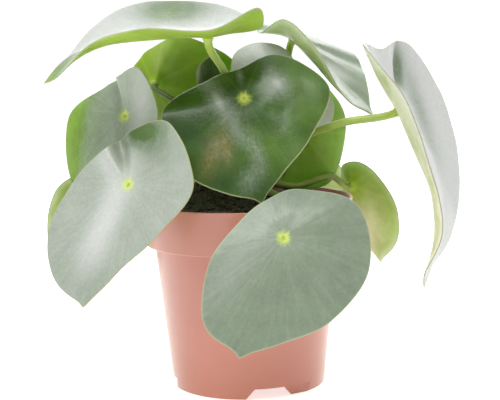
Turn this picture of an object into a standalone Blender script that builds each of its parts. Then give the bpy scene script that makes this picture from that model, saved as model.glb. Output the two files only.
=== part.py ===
"""Potted raindrop peperomia: a leafy house plant in its terracotta-coloured plastic nursery pot.

Blender 4.5, metres, +Z up. The origin is under the middle of the whole plant's bounding box, on the
surface that the pot stands on. -Y is the front, the side that most leaves lean to.
Run it with: blender --background --python part.py
"""
import math

import bpy
import bmesh
from mathutils import Vector, noise
from mathutils.geometry import interpolate_bezier

MM = 0.001
NAME = "potted_raindrop_peperomia"
MERGE = 0.01                 # points closer than this are one, mm
SHARP = 40                   # edges that turn more than this stay sharp, degrees
GAP = 0.3                    # clearance between neighbouring pieces, mm
POT_AXIS = (-5.6, -1.3)      # the leaves reach further to the right and back, so the axis is off centre

# Pot, mm. A 12 cm nursery pot: tapered body, and a wider rim band with a step under it.
RIM_RADIUS = 60.0
RIM_HEIGHT = 104.0
BAND_RADIUS = 56.0
BAND_BOTTOM = 80.0
BODY_RADIUS = 51.0
BASE_RADIUS = 42.5
WALL = 1.4
SOFT = 0.5                   # width of the pot's softened edges
FOOT_HEIGHT = 7.0
FOOT_WIDTH = 5.0
FLOOR = 1.6
POT_STEPS = 48
NOTCHES = 3
NOTCH_HEIGHT = 5.8
NOTCH_MIDDLE = 15.0          # degrees to the right of the front
NOTCH_TOP_SPAN = 22.5        # degrees
NOTCH_FOOT_SPAN = 36.0
RECESS_HEIGHT = 5.5          # beside each notch the foot is set back behind a flat face
RECESS_TURN = 15.0           # degrees from the notch's middle to the way that the flat face looks
RECESS_REACH = 40.2          # from the pot's axis to the flat face
DRAIN_RADIUS = 4.0
DRAIN_CIRCLE = 26.0
DRAIN_HOLES = 5

# Soil, mm. It fills the pot to just under the rim and is heaped up round the stem.
SOIL_EDGE = 102.0
SOIL_RINGS = 7
MOUND = 11.0
MOUND_AT = (-18.0, 0.0)
MOUND_WIDTH = 20.0
CRUMB = 0.7
CRUMB_SPACING = 9.0
HOLE_BOTTOM = 86.0

# Stem, mm. A short thick stem that every leaf stalk grows from.
STEM_AT = (0.0, 4.0)
STEM_RADIUS = 5.5
STEM_TAPER = 0.8
STEM_STEPS = 4
STEM_TOP = 127.0
LOWEST_STALK = 113.0
STALK_DROP = 8.0             # a stalk leaves the stem this far below its first route point
STALK_RADIUS_LOW = 2.5
STALK_RADIUS_HIGH = 2.0
STALK_POINTS = 3             # points on each stretch between two route points
STALK_END = 4.0              # the straight end that meets the blade square on

# Leaf blades, mm. They are fleshy shields, with the stalk joined to the underside away from the edge.
BLADE = 1.0
DIMPLE = 1.2
DIMPLE_WIDTH = 4.0
DRIP_WIDTH = 0.16            # in stations
POWER = 1.6
TIP_FOCUS = 6                # how close to the midrib tip_power acts
STATIONS = (0, 22, 50, 90, 135, 180, 225, 270, 310, 338)
LARGE = {"sectors": 30, "rings": 5}
SMALL = {"sectors": 20, "rings": 4}

# One entry for each leaf. at: where the stalk meets the blade. faces: azimuth (0 to the front,
# + to the right) and elevation of the upper face, degrees. spin: how far the drip tip swings to the
# right of straight down, degrees. radii: from the stalk to the edge at the ten STATIONS round the
# blade, 0 at the drip tip. lifts: how far the edge stands above the blade's plane there. drip: how
# far the drip tip is drawn out. swing: the base of the midrib turned aside, degrees. power and
# tip_power: how late the blade bends, all round and towards the tip. route: the stalk's way.
LEAVES = [
    {"name": "front_right", "size": LARGE, "at": (19, -85, 95), "faces": (5, 20), "spin": -23,
     "radii": (59, 51, 47, 45, 42, 28, 21, 23, 39, 58),
     "lifts": (-5, -3, 0, -1, -5, -8, -4, -3, -1, -3), "drip": 4,
     "route": [(8, -10, 111), (20, -34, 108), (24, -58, 109.5)]},
    {"name": "front_left", "size": LARGE, "at": (-60, -55, 120), "faces": (-25, 25), "spin": -13,
     "radii": (63, 42, 36, 42, 38, 29, 23, 32, 50, 62),
     "lifts": (-4, -2, 2, 8, 12, -2, 4, 0, -2, -3), "drip": 4, "swing": 20,
     "route": [(-2, -12, 115.5), (-26, -29, 119), (-50, -42, 121)]},
    {"name": "centre", "size": LARGE, "at": (1, -42, 162), "faces": (0, 18), "spin": 8,
     "radii": (52, 43, 40, 45, 32, 18, 22, 43, 49, 51),
     "lifts": (-2, 0, 0, -4, -10, -8, -12, -6, -2, 0), "drip": 4,
     "route": [(0, -3, 122), (-1, -14, 146), (-1, -28, 160)]},
    {"name": "left_dark", "size": LARGE, "at": (-65, -8, 152), "faces": (-30, 14), "spin": -8,
     "radii": (52, 48, 42, 34, 30, 20, 26, 43, 51, 54),
     "lifts": (0, 4, 12, 20, 24, -3, -4, -8, -10, -6), "drip": 4, "swing": 12,
     "route": [(-5, 0, 118), (-26, -1, 138), (-50, -3, 148)]},
    {"name": "left_lime", "size": SMALL, "at": (-86, 34, 91), "faces": (-140, 12), "spin": -12,
     "radii": (34, 32, 30, 32, 30, 26, 25, 31, 36, 37),
     "lifts": (-2, 0, 0, -2, -3, -2, -3, -2, 0, 0), "drip": 4,
     "route": [(-10, 8, 118), (-34, 14, 124), (-66, 24, 112)]},
    {"name": "back_lime", "size": LARGE, "at": (-50, 32, 168), "faces": (170, 30), "spin": 50,
     "radii": (50, 42, 18, 12, 15, 32, 48, 40, 43, 50),
     "lifts": (-8, -3, 5, 8, 9, -5, 5, 5, 1, -4), "drip": 4, "swing": -15,
     "route": [(-3, 5, 120), (-16, 9, 146), (-42, 20, 160)]},
    {"name": "young", "size": SMALL, "at": (-17, 4, 165), "faces": (0, 15), "spin": 176,
     "radii": (18, 15, 11, 7, 6, 5, 6, 7, 11, 15),
     "lifts": (2, 4, 7, 6, 2, 0, 2, 6, 7, 4), "drip": 3,
     "route": [(-3, 1, 124), (-10, 4, 145), (-16, 8, 156)]},
    {"name": "top_left", "size": LARGE, "at": (-17, -40, 195), "faces": (0, 84), "spin": -88,
     "radii": (80, 63, 48, 36, 36, 28, 28, 40, 59, 67),
     "lifts": (-21, 0, 8, 9, 15, 3, 8, 13, 13, 2), "drip": 6, "power": 2.0, "tip_power": 3.6,
     "route": [(-2, -2, 122), (-4, -8, 150), (-9, -20, 174)]},
    {"name": "back_grey", "size": SMALL, "at": (9, 4, 174), "faces": (0, 20), "spin": 0,
     "radii": (28, 27, 24, 22, 20, 17, 17, 15, 18, 26),
     "lifts": (-4, -2, 0, -1, -3, -2, -3, -1, 0, -2), "drip": 3,
     "route": [(1, 2, 124), (4, 9, 150)]},
    {"name": "top_right", "size": LARGE, "at": (30, 15, 192), "faces": (45, 50), "spin": 14,
     "radii": (58, 47, 40, 33, 28, 23, 19, 26, 36, 54),
     "lifts": (-4, -1, 0, -6, -10, -8, -4, 18, 18, 3), "drip": 6, "power": 1.8,
     "route": [(3, 4, 122), (12, 12, 150), (24, 13, 174)]},
    {"name": "right_green", "size": SMALL, "at": (33, 30, 138), "faces": (175, 5), "spin": 20,
     "radii": (31, 29, 26, 26, 28, 30, 27, 24, 31, 33),
     "lifts": (-2, 0, 0, 2, 2, 0, 2, 2, 0, 0), "drip": 4,
     "route": [(3, 6, 118), (16, 12, 136), (28, 18, 138)]},
    {"name": "right_grey", "size": SMALL, "at": (36, 15, 152), "faces": (20, 15), "spin": 10,
     "radii": (14, 15, 16, 16, 15, 14, 15, 14, 14, 14),
     "lifts": (0, 0, 1, 2, 1, -1, 1, 2, 1, 0), "drip": 2,
     "route": [(5, 6, 118), (17, 14, 138)]},
    {"name": "far_right", "size": LARGE, "at": (84, -30, 153), "faces": (70, 28), "spin": -2,
     "radii": (84, 76, 64, 52, 48, 33, 49, 43, 54, 72),
     "lifts": (-31, -13, 2, 12, 12, 6, 7, 15, 10, -3), "drip": 6, "power": 2.0, "tip_power": 3.2,
     "route": [(4, -2, 116), (24, -10, 134), (52, -22, 146)]},
    {"name": "low_right", "size": SMALL, "at": (62.5, 36.5, 105), "faces": (145, 12), "spin": -16,
     "radii": (45, 25, 13, 8, 9, 13, 16, 20, 31, 42),
     "lifts": (0, 0, 2, 3, 3, 0, 0, 0, 0, 0), "drip": 4,
     "route": [(14, 8, 111), (30, 16, 108), (50, 27.5, 111.5)]},
    {"name": "inner", "size": SMALL, "at": (-20, -14, 132), "faces": (5, 6), "spin": -13,
     "radii": (17, 14, 12, 11, 12, 12, 12, 12, 13, 15),
     "lifts": (0, 0, 0, 1, 0, 0, 0, 1, 0, 0), "drip": 3,
     "route": [(-7, 4, 120), (-14, -2, 130)]},
    {"name": "back_left", "size": LARGE, "at": (-30, 74, 126), "faces": (190, 28), "spin": 8,
     "radii": (52, 46, 40, 34, 30, 26, 28, 33, 40, 47),
     "lifts": (-8, -4, 0, 2, 4, -3, 4, 2, 0, -3), "drip": 5,
     "route": [(-3, 8, 116), (-14, 34, 127), (-24, 55, 121)]},
    {"name": "back_right", "size": LARGE, "at": (28, 86, 104), "faces": (165, 25), "spin": -6,
     "radii": (50, 44, 38, 33, 30, 25, 28, 34, 40, 46),
     "lifts": (-7, -3, 0, 3, 5, -3, 4, 2, 0, -3), "drip": 5,
     "route": [(-1, 12, 114), (4, 40, 118), (19, 65, 105)]},
    {"name": "back_mid", "size": SMALL, "at": (16, 50, 158), "faces": (178, 25), "spin": 10,
     "radii": (36, 32, 27, 23, 20, 18, 20, 23, 28, 33),
     "lifts": (-6, -3, 0, 2, 3, -2, 3, 2, 0, -3), "drip": 4,
     "route": [(0, 8, 121), (-3, 29, 143)]},
]

# Colours as linear RGB, with roughness.
TERRACOTTA = ((0.56, 0.22, 0.14), 0.42)
SOIL = ((0.02, 0.018, 0.014), 0.95)
STALK_GREEN = ((0.36, 0.42, 0.10), 0.40)
LEAF_GREEN = ((0.16, 0.27, 0.13), 0.38)


def start_empty():
    """Remove what the file holds and make the two collections."""
    for thing in list(bpy.data.objects):
        bpy.data.objects.remove(thing, do_unlink=True)
    parts = bpy.data.collections.new(NAME)
    cutters = bpy.data.collections.new("cutters")
    for group in (parts, cutters):
        bpy.context.scene.collection.children.link(group)
    return parts, cutters


def finish_material(name, colour, roughness):
    material = bpy.data.materials.new(name)
    material.use_nodes = True
    shader = material.node_tree.nodes["Principled BSDF"]
    shader.inputs["Base Color"].default_value = (*colour, 1.0)
    shader.inputs["Roughness"].default_value = roughness
    shader.inputs["Metallic"].default_value = 0.0
    return material


def new_object(name, data, group, material=None):
    thing = bpy.data.objects.new(name, data)
    group.objects.link(thing)
    if material:
        data.materials.append(material)
    return thing


def mesh_from(bm, name):
    mesh = bpy.data.meshes.new(name)
    bm.to_mesh(mesh)
    bm.free()
    return mesh


def cut_away(thing, cutter):
    cut = thing.modifiers.new(cutter.name, "BOOLEAN")
    cut.operation = "DIFFERENCE"
    cut.object = cutter
    cut.solver = "EXACT"


def settle(thing, material):
    """Apply a thing's modifiers, and shade it smooth except at its sharp edges."""
    bpy.context.view_layer.update()
    evaluated = thing.evaluated_get(bpy.context.evaluated_depsgraph_get())
    settled = bpy.data.meshes.new_from_object(evaluated)
    thing.modifiers.clear()
    thing.data = settled
    settled.materials.clear()
    settled.materials.append(material)
    settled.shade_smooth()
    settled.set_sharp_from_angle(angle=math.radians(SHARP))
    return thing


def make_cutter(thing):
    thing.hide_render = True
    thing.display_type = "WIRE"
    return thing


def ring_point(points, t):
    """A smooth closed curve through the given points, at t counted in points."""
    first = math.floor(t)
    part = t - first
    a, b, c, d = (points[(first + step) % len(points)] for step in (-1, 0, 1, 2))
    return 0.5 * (b * 2 + (c - a) * part + (a * 2 - b * 5 + c * 4 - d) * part ** 2
                  + (b * 3 - a - c * 3 + d) * part ** 3)


def leaf_axes(leaf):
    """The blade's own axes: towards the tip, to the side, and out of the upper face."""
    azimuth, elevation = (math.radians(angle) for angle in leaf["faces"])
    spin = math.radians(leaf["spin"])
    out = Vector((math.sin(azimuth) * math.cos(elevation),
                  -math.cos(azimuth) * math.cos(elevation),
                  math.sin(elevation)))
    down = Vector((math.sin(azimuth) * math.sin(elevation),
                   -math.cos(azimuth) * math.sin(elevation),
                   -math.cos(elevation)))
    tip = down * math.cos(spin) + out.cross(down) * math.sin(spin)
    return tip, out.cross(tip), out


def edge_stations(leaf):
    """The points that the blade's edge passes through: to the side, to the tip, out."""
    points = []
    for angle, radius, lift in zip(STATIONS, leaf["radii"], leaf["lifts"]):
        turn = math.radians(angle)
        turn += math.radians(leaf.get("swing", 0)) * (1 - math.cos(turn)) / 2
        points.append(Vector((radius * math.sin(turn), radius * math.cos(turn), lift)))
    return points


def blade_point(leaf, stations, t, reach):
    """A point of the blade: t counts stations round it, reach runs from the stalk to the edge."""
    edge = ring_point(stations, t)
    from_tip = min(t, len(stations) - t)
    edge = edge + stations[0].normalized() * leaf["drip"] * math.exp(-(from_tip / DRIP_WIDTH) ** 1.4)
    power = leaf.get("power", POWER)
    along = max(0.0, edge.y / math.hypot(edge.x, edge.y)) ** TIP_FOCUS
    power += (leaf.get("tip_power", power) - power) * along
    side, forward = edge.x * reach, edge.y * reach
    out = edge.z * reach ** power
    out -= DIMPLE * math.exp(-(side ** 2 + forward ** 2) / (2 * DIMPLE_WIDTH ** 2))
    tip_axis, side_axis, out_axis = leaf_axes(leaf)
    return Vector(leaf["at"]) + side_axis * side + tip_axis * forward + out_axis * out


def make_leaf(leaf, parts, material):
    """A flat disc spun from one line of points, then shaped, and given its thickness."""
    sectors, rings = leaf["size"]["sectors"], leaf["size"]["rings"]
    bm = bmesh.new()
    line = [bm.verts.new((0.0, ring / rings, 0.0)) for ring in range(rings + 1)]
    spokes = [bm.edges.new(pair) for pair in zip(line, line[1:])]
    bmesh.ops.spin(bm, geom=line + spokes, cent=(0, 0, 0), axis=(0, 0, -1),
                   angle=2 * math.pi, steps=sectors, use_merge=True)
    bmesh.ops.remove_doubles(bm, verts=bm.verts, dist=MERGE)
    stations = edge_stations(leaf)
    for vert in bm.verts:
        turn = math.atan2(vert.co.x, vert.co.y) % (2 * math.pi)
        t = round(turn / (2 * math.pi) * sectors) % sectors * len(stations) / sectors
        vert.co = blade_point(leaf, stations, t, math.hypot(vert.co.x, vert.co.y)) * MM
    bmesh.ops.triangulate(bm, faces=bm.faces)
    thing = new_object("leaf_" + leaf["name"], mesh_from(bm, "leaf_" + leaf["name"]), parts, material)
    thing.data.shade_smooth()
    solid = thing.modifiers.new("thickness", "SOLIDIFY")
    solid.thickness = BLADE * MM
    solid.offset = 0.0
    return thing


def stalk_route(leaf):
    """Points of a leaf's stalk, from inside the stem to just under the blade, which it meets square on."""
    out = leaf_axes(leaf)[2]
    tip = Vector(leaf["at"]) - out * (DIMPLE + BLADE / 2 + 1.5 * GAP)
    root = Vector((*STEM_AT, max(LOWEST_STALK, leaf["route"][0][2] - STALK_DROP)))
    points = [root] + [Vector(point) for point in leaf["route"]] + [tip - out * STALK_END]
    ways = [(after - before).normalized() for before, after in zip(points[:1] + points, points[1:])]
    ways.append(out)
    for index in range(1, len(points) - 1):
        ways[index] = (points[index + 1] - points[index - 1]).normalized()
    route = []
    for start, end, leaving, arriving in zip(points, points[1:], ways, ways[1:]):
        handle = (end - start).length / 3
        route += interpolate_bezier(start, start + leaving * handle, end - arriving * handle, end,
                                    STALK_POINTS + 1)[:-1]
    return route + [points[-1], tip]


def tube(name, route, radii, group):
    """A round stalk along a route, made a mesh with its ends closed."""
    curve = bpy.data.curves.new(name, "CURVE")
    curve.dimensions = "3D"
    curve.bevel_depth = MM
    curve.bevel_resolution = 2
    curve.use_fill_caps = True
    spline = curve.splines.new("POLY")
    spline.points.add(len(route) - 1)
    for index, (point, place) in enumerate(zip(spline.points, route)):
        share = index / (len(route) - 1)
        point.co = (*(place * MM), 1.0)
        point.radius = radii[0] + (radii[1] - radii[0]) * share
    rail = new_object(name + "_rail", curve, group)
    mesh = bpy.data.meshes.new_from_object(rail.evaluated_get(bpy.context.evaluated_depsgraph_get()))
    bm = bmesh.new()
    bm.from_mesh(mesh)
    bmesh.ops.remove_doubles(bm, verts=bm.verts, dist=MERGE * MM)
    bmesh.ops.triangulate(bm, faces=bm.faces)
    bm.to_mesh(mesh)
    bm.free()
    thing = new_object(name, mesh, group)
    thing.matrix_world = rail.matrix_world
    bpy.data.objects.remove(rail)
    return thing


def make_stem(parts, material):
    """The stem and every leaf stalk, grown together as one body."""
    foot = Vector((*STEM_AT, HOLE_BOTTOM + GAP))
    top = Vector((*STEM_AT, STEM_TOP))
    stem_route = [foot.lerp(top, step / STEM_STEPS) for step in range(STEM_STEPS + 1)]
    stem = tube("stem_and_stalks", stem_route, (STEM_RADIUS, STEM_RADIUS * STEM_TAPER), parts)
    stalks = bpy.data.collections.new("stalks")
    bpy.context.scene.collection.children.link(stalks)
    for leaf in LEAVES:
        tube("stalk_" + leaf["name"], stalk_route(leaf), (STALK_RADIUS_LOW, STALK_RADIUS_HIGH), stalks)
    union = stem.modifiers.new("grown_together", "BOOLEAN")
    union.operation = "UNION"
    union.operand_type = "COLLECTION"
    union.collection = stalks
    union.solver = "EXACT"
    settle(stem, material)
    for stalk in list(stalks.objects):
        bpy.data.objects.remove(stalk, do_unlink=True)
    bpy.data.collections.remove(stalks)
    return stem


def turned(name, profile, steps, parts):
    """A closed profile of radius and height pairs, turned round the pot's axis."""
    bm = bmesh.new()
    corners = [bm.verts.new((radius * MM, 0.0, height * MM)) for radius, height in profile]
    for corner, following in zip(corners, corners[1:] + corners[:1]):
        bm.edges.new((corner, following))
    thing = new_object(name, mesh_from(bm, name), parts)
    screw = thing.modifiers.new("turned", "SCREW")
    screw.steps = steps
    screw.render_steps = steps
    screw.use_merge_vertices = True
    screw.merge_threshold = MERGE * MM
    return thing


def wall_radius(height):
    """Outer radius of the pot's wall at a height, without the step's thickness."""
    if height < BAND_BOTTOM:
        return BASE_RADIUS + (BODY_RADIUS - BASE_RADIUS) * height / BAND_BOTTOM
    return BAND_RADIUS + (RIM_RADIUS - BAND_RADIUS) * (height - BAND_BOTTOM) / (RIM_HEIGHT - BAND_BOTTOM)


def pot_inside():
    """Corners of the pot's inner wall, from the floor up."""
    floor_top = FOOT_HEIGHT + FLOOR
    return [(wall_radius(floor_top) - WALL, floor_top),
            (BODY_RADIUS - WALL, BAND_BOTTOM + SOFT),
            (BAND_RADIUS - WALL - SOFT, BAND_BOTTOM + WALL),
            (RIM_RADIUS - WALL, RIM_HEIGHT - SOFT)]


def pot_profile():
    foot_inner = BASE_RADIUS - FOOT_WIDTH
    outside = [(RIM_RADIUS, RIM_HEIGHT - SOFT),
               (BAND_RADIUS, BAND_BOTTOM + SOFT),
               (BAND_RADIUS - SOFT, BAND_BOTTOM),
               (BODY_RADIUS, BAND_BOTTOM - SOFT),
               (wall_radius(FOOT_HEIGHT), FOOT_HEIGHT),
               (wall_radius(SOFT), SOFT),
               (BASE_RADIUS - SOFT, 0.0)]
    underside = [(foot_inner, 0.0),
                 (foot_inner, FOOT_HEIGHT),
                 (DRAIN_RADIUS, FOOT_HEIGHT),
                 (DRAIN_RADIUS, FOOT_HEIGHT + FLOOR)]
    lip = [(RIM_RADIUS - WALL + SOFT, RIM_HEIGHT),
           (RIM_RADIUS - SOFT, RIM_HEIGHT)]
    return outside + underside + pot_inside() + lip


def block_cutter(name, near, far, half_foot, half_top, height, azimuth, cutters):
    """A block at an azimuth, from near to far out from the pot's axis, as deep below z 0 as it is high.

    Its half width is half_foot at z 0 and half_top at its top.
    """
    bm = bmesh.new()
    bmesh.ops.create_cube(bm, size=2.0)
    turn = math.radians(azimuth)
    for vert in bm.verts:
        half_width = half_top if vert.co.z > 0 else 2 * half_foot - half_top
        outward = far if vert.co.x > 0 else near
        across = vert.co.y * half_width
        vert.co = Vector((outward * math.sin(turn) + across * math.cos(turn),
                          across * math.sin(turn) - outward * math.cos(turn),
                          vert.co.z * height)) * MM
    return make_cutter(new_object(name, mesh_from(bm, name), cutters))


def round_cutter(name, radius, depth, sides, centre, cutters):
    """An upright cylinder round a centre."""
    bm = bmesh.new()
    bmesh.ops.create_cone(bm, cap_ends=True, segments=sides, radius1=radius * MM,
                          radius2=radius * MM, depth=depth * MM)
    cutter = make_cutter(new_object(name, mesh_from(bm, name), cutters))
    cutter.location = Vector(centre) * MM
    return cutter


def make_pot(parts, cutters, material):
    """The moulded pot, with its notched foot ring and its drain holes."""
    pot = turned("pot", pot_profile(), POT_STEPS, parts)
    cuts = []
    half_foot, half_top = (BASE_RADIUS * math.sin(math.radians(span / 2))
                           for span in (NOTCH_FOOT_SPAN, NOTCH_TOP_SPAN))
    for notch in range(NOTCHES):
        azimuth = NOTCH_MIDDLE + 360 / NOTCHES * notch
        cuts.append(block_cutter("notch", BASE_RADIUS - 2 * FOOT_WIDTH, BASE_RADIUS + FOOT_WIDTH,
                                 half_foot, half_top, NOTCH_HEIGHT, azimuth, cutters))
        cuts.append(block_cutter("recess", RECESS_REACH, BASE_RADIUS + FOOT_WIDTH,
                                 half_foot + FOOT_WIDTH, half_foot + FOOT_WIDTH, RECESS_HEIGHT,
                                 azimuth + RECESS_TURN, cutters))
    for hole in range(DRAIN_HOLES):
        turn = 2 * math.pi * hole / DRAIN_HOLES
        centre = (DRAIN_CIRCLE * math.cos(turn), DRAIN_CIRCLE * math.sin(turn), FOOT_HEIGHT + FLOOR / 2)
        cuts.append(round_cutter("drain", DRAIN_RADIUS, 4 * FLOOR, 12, centre, cutters))
    for cutter in cuts:
        cut_away(pot, cutter)
    return settle(pot, material)


def soil_height(x, y):
    """Height of the soil's top at a place, with its heap round the stem and its crumbs."""
    away = (x - MOUND_AT[0]) ** 2 + (y - MOUND_AT[1]) ** 2
    crumbs = noise.noise(Vector((x, y, 0.0)) / CRUMB_SPACING)
    return SOIL_EDGE + MOUND * math.exp(-away / (2 * MOUND_WIDTH ** 2)) + CRUMB * crumbs


def make_soil(parts, cutters, material):
    """The root ball: it follows the pot's inside, and its top is raised by soil_height."""
    corner, step_low, step_high, rim = [(radius - GAP, height + GAP) for radius, height in pot_inside()]
    share = (SOIL_EDGE - step_high[1]) / (rim[1] - step_high[1])
    reach = step_high[0] + (rim[0] - step_high[0]) * share
    top = [(reach * ring / SOIL_RINGS, SOIL_EDGE) for ring in range(SOIL_RINGS + 1)]
    outline = top + [step_high, step_low, corner, (0.0, corner[1])]
    bm = bmesh.new()
    line = [bm.verts.new((radius * MM, 0.0, height * MM)) for radius, height in outline]
    sides = [bm.edges.new(pair) for pair in zip(line, line[1:])]
    bmesh.ops.spin(bm, geom=line + sides, cent=(0, 0, 0), axis=(0, 0, 1),
                   angle=2 * math.pi, steps=POT_STEPS, use_merge=True)
    bmesh.ops.remove_doubles(bm, verts=bm.verts, dist=MERGE * MM)
    for vert in bm.verts:
        x, y, z = vert.co / MM
        if z > SOIL_EDGE - MERGE and math.hypot(x, y) < reach - GAP:
            vert.co.z = soil_height(x, y) * MM
    bmesh.ops.triangulate(bm, faces=bm.faces)
    bmesh.ops.recalc_face_normals(bm, faces=bm.faces)
    soil = new_object("soil", mesh_from(bm, "soil"), parts)
    depth = RIM_HEIGHT + MOUND * 2 - HOLE_BOTTOM
    centre = (*STEM_AT, HOLE_BOTTOM + depth / 2)
    cut_away(soil, round_cutter("stem_hole", STEM_RADIUS + 2 * GAP, depth, 16, centre, cutters))
    return settle(soil, material)


def main():
    parts, cutters = start_empty()
    pot_plastic = finish_material("terracotta_plastic", *TERRACOTTA)
    peat = finish_material("peat", *SOIL)
    stalk_skin = finish_material("stalk_skin", *STALK_GREEN)
    leaf_skin = finish_material("leaf_skin", *LEAF_GREEN)
    make_pot(parts, cutters, pot_plastic)
    make_soil(parts, cutters, peat)
    make_stem(parts, stalk_skin)
    for leaf in LEAVES:
        make_leaf(leaf, parts, leaf_skin)
    for thing in list(parts.objects) + list(cutters.objects):
        thing.location += Vector((*POT_AXIS, 0.0)) * MM


main()
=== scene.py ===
# %% [markdown]
# # A potted raindrop peperomia
# The solids of this plant are already made: a pot, its soil, a stem with all its stalks, and eighteen leaf
# blades. They are plain and coarse. This lesson dresses them: each one gets a finer mesh of the same form
# and a finish that follows the real thing.

import math

import bmesh
import bpy
import numpy as np
from mathutils import Matrix, Vector, noise
from mathutils.geometry import interpolate_bezier


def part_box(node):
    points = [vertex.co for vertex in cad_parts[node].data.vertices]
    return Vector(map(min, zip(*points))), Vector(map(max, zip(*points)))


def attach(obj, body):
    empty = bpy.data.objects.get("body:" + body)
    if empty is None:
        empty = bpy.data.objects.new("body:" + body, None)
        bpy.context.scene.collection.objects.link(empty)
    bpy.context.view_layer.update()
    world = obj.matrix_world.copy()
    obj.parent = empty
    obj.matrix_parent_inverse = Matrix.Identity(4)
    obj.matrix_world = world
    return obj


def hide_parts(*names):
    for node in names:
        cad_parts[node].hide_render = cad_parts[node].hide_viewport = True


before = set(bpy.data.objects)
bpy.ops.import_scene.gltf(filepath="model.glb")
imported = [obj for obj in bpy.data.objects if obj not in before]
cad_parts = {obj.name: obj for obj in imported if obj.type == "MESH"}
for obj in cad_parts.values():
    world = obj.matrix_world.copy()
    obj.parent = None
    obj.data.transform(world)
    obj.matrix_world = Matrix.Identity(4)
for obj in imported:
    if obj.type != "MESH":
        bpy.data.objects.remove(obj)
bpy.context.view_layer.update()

# %% [markdown]
# ## Units and where the plant stands
# The sizes below are real sizes in millimetres, measured from the pot's axis. Blender works in metres. The
# pot is the one round thing here, so the middle of its box says where its axis is.

# %% Units and the pot's axis
MM = 0.001
pot_low, pot_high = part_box("pot")
AXIS = Vector(((pot_low.x + pot_high.x) / 2, (pot_low.y + pot_high.y) / 2, 0.0))
print("pot axis, mm:", [round(value / MM, 2) for value in AXIS])


def place(point):
    """A point in millimetres from the pot's axis, as a point of the scene in metres."""
    return Vector(point) * MM + AXIS


def round_axis(radius, turn, height):
    """A point in millimetres at a radius, a turn in radians and a height round the pot's axis."""
    return radius * math.cos(turn), radius * math.sin(turn), height


def into_scene(name, data):
    """Put a mesh, a light or a camera in the scene."""
    thing = bpy.data.objects.new(name, data)
    bpy.context.scene.collection.objects.link(thing)
    return thing


# %% [markdown]
# ## The camera
# Nursery catalogues photograph a plant from a little above its rim with a long lens, so that the leaves keep
# their proportions. The pot's ellipses say how far the camera looks down, and it leans a little to one side.
# A camera can be aimed with a constraint, but a fixed rotation is easier to reason about: three axes make a
# matrix.

# %% The camera
CAMERA_AT = (2.8, -720.0, 200.0)
LOOKS_DOWN = math.radians(7.7)
LEANS = math.radians(1.4)
FOCAL_PIXELS = 1300.0
IMAGE_WIDTH = 500.0
SENSOR = 36.0

ahead = Vector((0.0, math.cos(LOOKS_DOWN), -math.sin(LOOKS_DOWN)))
level = Vector((1.0, 0.0, 0.0))
above = level.cross(ahead)
right = level * math.cos(LEANS) - above * math.sin(LEANS)
up = level * math.sin(LEANS) + above * math.cos(LEANS)

camera_data = bpy.data.cameras.new("camera")
camera_data.sensor_width = SENSOR
camera_data.lens = FOCAL_PIXELS / IMAGE_WIDTH * SENSOR
camera = into_scene("camera", camera_data)
turned = Matrix((right, up, -ahead)).transposed().to_4x4()
camera.matrix_world = Matrix.Translation(place(CAMERA_AT)) @ turned
bpy.context.scene.camera = camera
print("lens, mm:", round(camera_data.lens, 1))

# %% [markdown]
# ## Small helpers for materials
# A shader wants linear colour, but colours are easiest to read as the hex values of a paint chart, which are
# sRGB. One function turns the one into the other. Another adds a node with its values and links and hands
# on its output, so that a material reads like a recipe. A third turns a size on the real plant into the
# scale of a noise pattern, which counts repeats in a metre.

# %% Colour, node and pattern helpers
SMOOTH = {"interpolation_type": "SMOOTHSTEP"}
IN_COLOUR = {"data_type": "RGBA"}
TINTING = {"data_type": "RGBA", "blend_type": "MULTIPLY"}
TIMES = {"operation": "MULTIPLY"}
TIMES_PLUS = {"operation": "MULTIPLY_ADD"}


def linear(hex_colour):
    """An sRGB hex colour as linear RGBA."""
    channels = [int(hex_colour[index:index + 2], 16) / 255 for index in (1, 3, 5)]
    return (*[c / 12.92 if c <= 0.04045 else ((c + 0.055) / 1.055) ** 2.4 for c in channels], 1.0)


def add(material, kind, inputs=(), settings=None, give=0, stops=(), **named):
    """Add a node and give back one of its outputs.

    Inputs come in the order of the node, by number or by name, with _ for a space. Each is a value or the
    output that feeds it. A map range takes a value, the two ends of its range, and what these become.
    """
    node = material.node_tree.nodes.new("ShaderNode" + kind)
    for name, value in (settings or {}).items():
        setattr(node, name, value)
    for index, (position, colour) in enumerate(stops):
        elements = node.color_ramp.elements
        element = elements[index] if index < 2 else elements.new(position)
        element.position = position
        element.color = linear(colour)
    numbered = inputs if isinstance(inputs, dict) else dict(enumerate(inputs))
    for key, value in [*numbered.items(), *named.items()]:
        socket = node.inputs[key.replace("_", " ") if isinstance(key, str) else key]
        if isinstance(value, bpy.types.NodeSocket):
            material.node_tree.links.new(value, socket)
        else:
            socket.default_value = value
    return node.outputs[give] if len(node.outputs) else None


def every(size):
    """The scale of a pattern that repeats about every so many millimetres."""
    return 1 / (size * MM)


def empty_material(name):
    material = bpy.data.materials.new(name)
    material.use_nodes = True
    material.node_tree.nodes.clear()
    return material


print("linear mid grey:", [round(value, 3) for value in linear("#808080")])
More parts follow.
